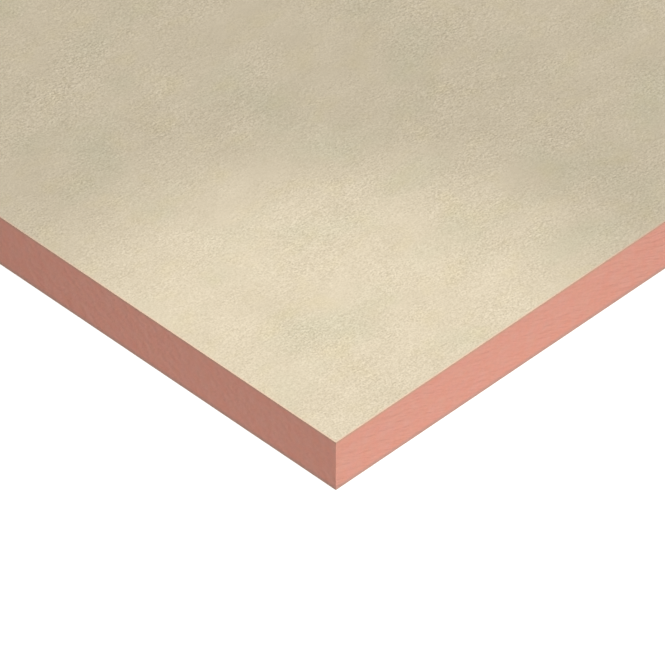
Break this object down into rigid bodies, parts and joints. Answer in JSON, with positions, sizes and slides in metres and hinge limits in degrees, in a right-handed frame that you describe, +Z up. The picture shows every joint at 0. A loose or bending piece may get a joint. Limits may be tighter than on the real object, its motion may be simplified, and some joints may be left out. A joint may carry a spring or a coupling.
{
  "type": "phenolic insulation board",
  "caption": "Flat rigid insulation board: a closed-cell phenolic foam core between two bonded glass-tissue facings, with square sawn edges.",
  "frame": {"origin": "middle of the lower face, which the board lies on", "axes": "+X along the length, the running direction of the laminate; +Y across the width; +Z up through the thickness"},
  "size_m": [1.2, 0.6, 0.05],
  "materials": {
    "phenolic_foam": "matte",
    "glass_tissue": "matte"
  },
  "bodies": {
    "root": {"foam_core": "phenolic_foam", "upper_facing": "glass_tissue", "lower_facing": "glass_tissue"}
  },
  "joints": []
}
